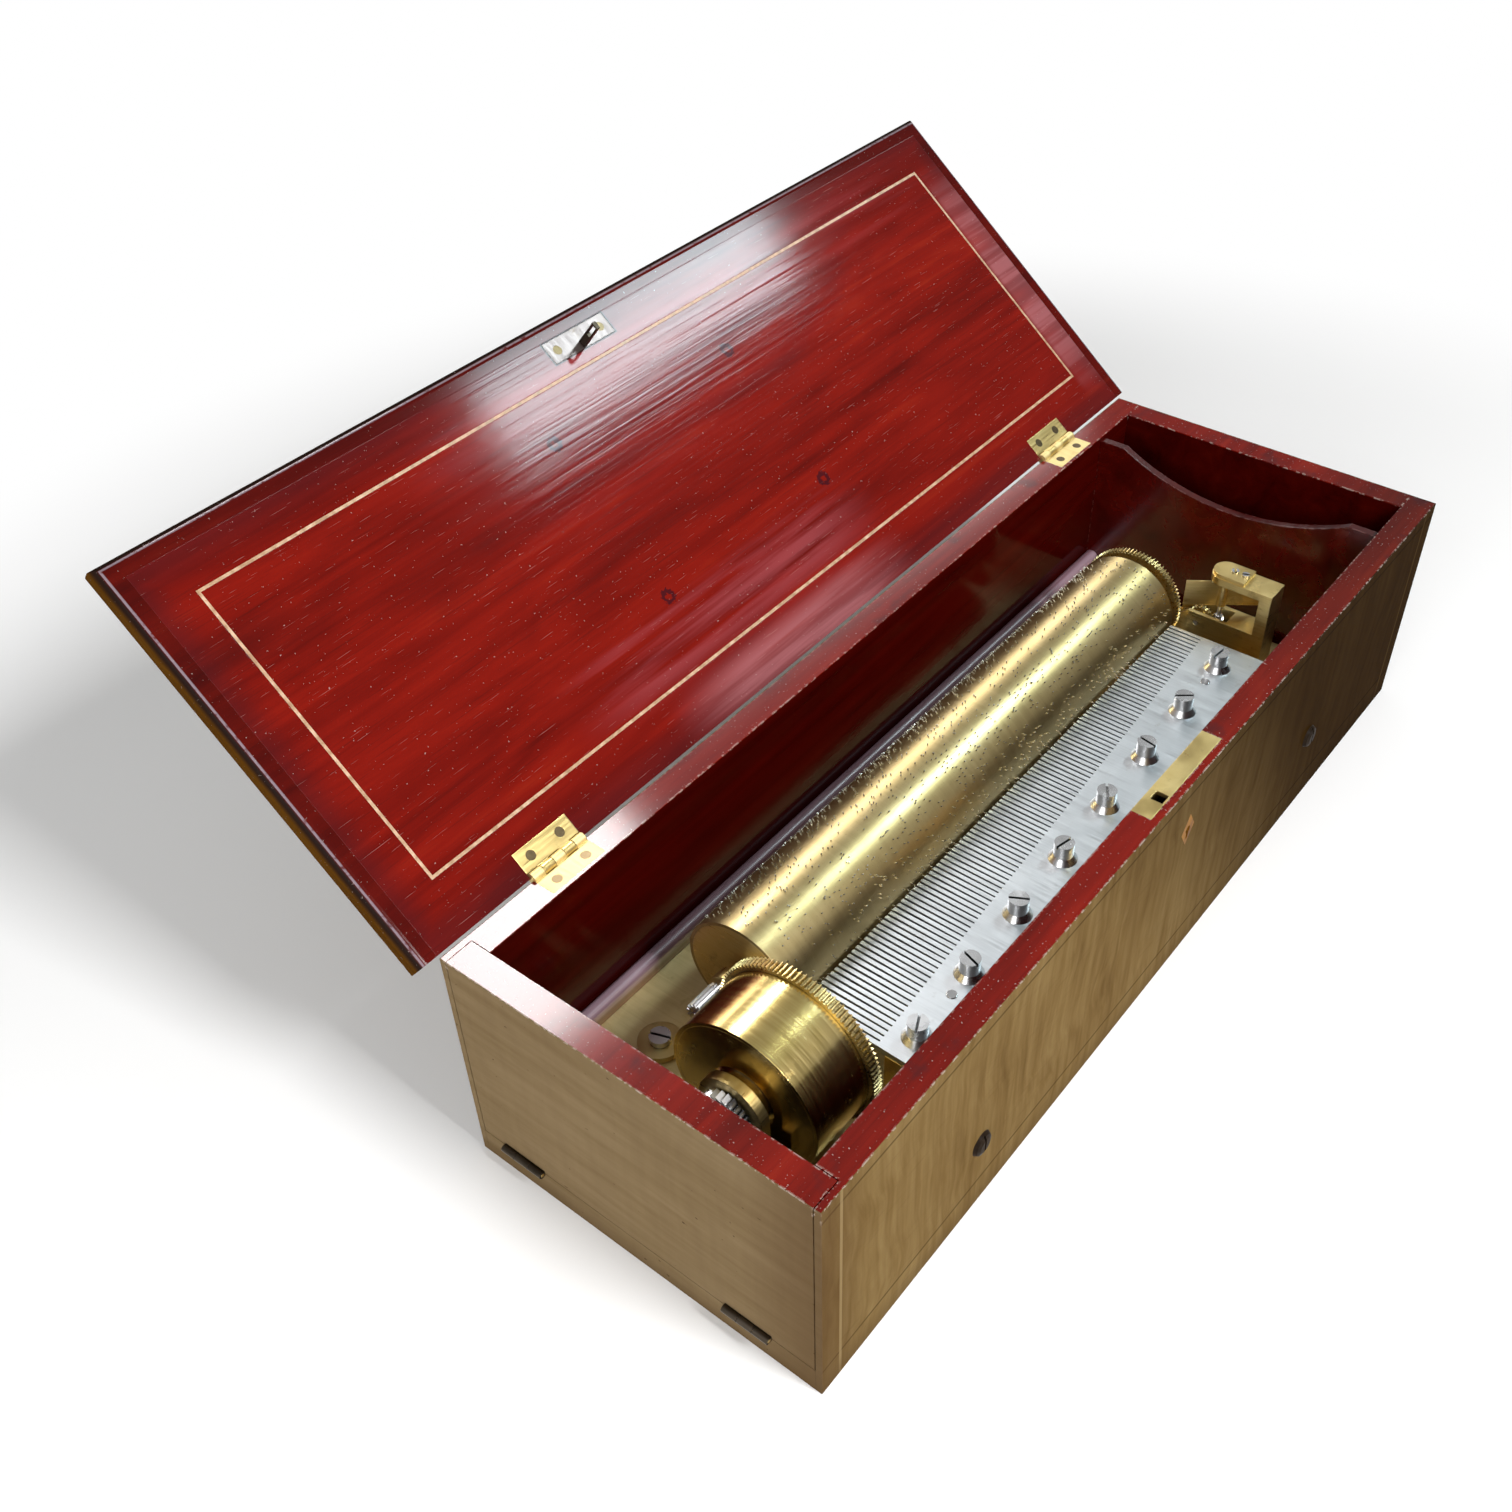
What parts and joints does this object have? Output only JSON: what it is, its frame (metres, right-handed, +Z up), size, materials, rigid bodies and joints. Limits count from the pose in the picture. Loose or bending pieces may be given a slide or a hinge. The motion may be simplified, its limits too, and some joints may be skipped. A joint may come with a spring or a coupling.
{
  "type": "music box",
  "caption": "Wooden cylinder music box with a hinged lid and end flap, a pinned brass cylinder, a steel comb, a spring barrel and a fan governor.",
  "frame": {"origin": "centre of the case's underside, on the surface it stands on", "axes": "+X along the case from the winding end to the key compartment, -Y out of the front with the keyhole, +Z up"},
  "size_m": [0.518, 0.3294, 0.2372],
  "materials": {
    "case_wood": "old french-polished veneer",
    "lid_wood": "red-stained, semi-gloss varnish",
    "edge_wood": "dark-stained, semi-gloss",
    "stained_wood": "red-stained, satin",
    "plain_wood": "unvarnished",
    "light_inlay": "varnished",
    "brass": "satin, tarnished in corners",
    "polished_brass": "polished",
    "comb_steel": "satin",
    "polished_steel": "polished",
    "dark_steel": "browned"
  },
  "bodies": {
    "case": {"front_wall": "case_wood", "back_wall": "case_wood", "right_end": "case_wood", "bottom_board": "plain_wood", "end_sill": "case_wood", "partition": "stained_wood", "rear_batten": "stained_wood", "bed_bearers": "plain_wood", "escutcheon": "light_inlay", "bed_screws": "dark_steel", "case_hinge_leaves": "brass", "hinge_pins": "brass", "case_hinge_screws": "brass", "lock_plate": "brass", "lock_case": "polished_steel", "sill_hinge_leaves": "brass", "comb": "comb_steel", "comb_base": "brass", "comb_screws": "polished_steel", "comb_dowels": "comb_steel", "bedplate": "brass", "cylinder_cock_left": "brass", "cylinder_cock_right": "brass", "barrel_cock_right": "brass", "barrel_cock_left": "brass", "cock_screws": "polished_steel", "click_spring": "polished_steel", "governor_frame": "brass", "governor_cap": "brass", "governor_cap_screws": "polished_steel"},
    "lid": {"lid_panel": "lid_wood", "lid_moulding": "edge_wood", "lid_stringing": "light_inlay", "lid_hinge_leaves": "brass", "lid_screws": "brass", "catch_plate": "polished_steel", "catch_staple": "polished_steel"},
    "end_flap": {"end_flap": "case_wood", "flap_hinge_leaves": "brass"},
    "cylinder_arbor": {"cylinder_arbor": "polished_steel", "drive_pinion": "polished_steel", "great_gear": "brass"},
    "cylinder": {"cylinder_tube": "polished_brass", "cylinder_end_caps": "polished_brass"},
    "barrel": {"barrel_wheel": "brass", "barrel_drum": "polished_brass", "barrel_cover": "polished_brass", "mainspring": "dark_steel"},
    "governor_first": {"first_arbor": "polished_steel", "first_wheel": "brass"},
    "governor_second": {"second_arbor": "polished_steel", "worm_wheel": "brass"},
    "endless_screw": {"endless_screw": "polished_steel", "fan": "brass"},
    "winder": {"winding_arbor": "polished_steel", "ratchet_wheel": "polished_steel"},
    "click": {"click": "polished_steel"},
    "start_lever": {"start_lever": "brass"},
    "lock_bolt": {"lock_bolt": "polished_steel"}
  },
  "joints": [
    {"name": "lid_hinge", "type": "hinge", "parent": "case", "child": "lid", "pos_m": [0, 0.0885, 0.1182], "axis": [-1, 0, 0], "range_deg": [-141, 0]},
    {"name": "flap_hinge", "type": "hinge", "parent": "case", "child": "end_flap", "pos_m": [-0.2512, 0, 0.014], "axis": [0, -1, 0], "range_deg": [0, 90]},
    {"name": "cylinder_spin", "type": "hinge", "parent": "case", "child": "cylinder_arbor", "pos_m": [0, 0.0213, 0.07], "axis": [1, 0, 0], "continuous": true},
    {"name": "tune_shift", "type": "slide", "parent": "cylinder_arbor", "child": "cylinder", "axis": [1, 0, 0], "range_m": [0, 0.0024], "stiffness_N_per_m": 300},
    {"name": "barrel_spin", "type": "hinge", "parent": "case", "child": "barrel", "pos_m": [-0.19, -0.02002, 0.0775], "axis": [1, 0, 0], "continuous": true},
    {"name": "first_spin", "type": "hinge", "parent": "case", "child": "governor_first", "pos_m": [0.17, -0.00478, 0.05442], "axis": [1, 0, 0], "continuous": true},
    {"name": "second_spin", "type": "hinge", "parent": "case", "child": "governor_second", "pos_m": [0.17, -0.012, 0.064], "axis": [1, 0, 0], "continuous": true},
    {"name": "fan_spin", "type": "hinge", "parent": "case", "child": "endless_screw", "pos_m": [0.17, -0.0205, 0.07], "axis": [0, 0, 1], "continuous": true},
    {"name": "winding_spin", "type": "hinge", "parent": "case", "child": "winder", "pos_m": [-0.22, -0.02002, 0.0775], "axis": [1, 0, 0], "continuous": true},
    {"name": "click_pivot", "type": "hinge", "parent": "case", "child": "click", "pos_m": [-0.218, -0.00692, 0.0615], "axis": [-1, 0, 0], "range_deg": [0, 6], "stiffness_Nm_per_rad": 0.02},
    {"name": "lever_pivot", "type": "hinge", "parent": "case", "child": "start_lever", "pos_m": [-0.187, 0.042, 0.04], "axis": [0, 0, 1], "range_deg": [0, 8]},
    {"name": "bolt_slide", "type": "slide", "parent": "case", "child": "lock_bolt", "axis": [-1, 0, 0], "range_m": [0, 0.007]}
  ],
  "couplings": [
    {"joint": "barrel_spin", "follows": "cylinder_spin", "ratio": -0.15385},
    {"joint": "first_spin", "follows": "cylinder_spin", "ratio": -6},
    {"joint": "second_spin", "follows": "cylinder_spin", "ratio": 18},
    {"joint": "fan_spin", "follows": "cylinder_spin", "ratio": 360}
  ]
}
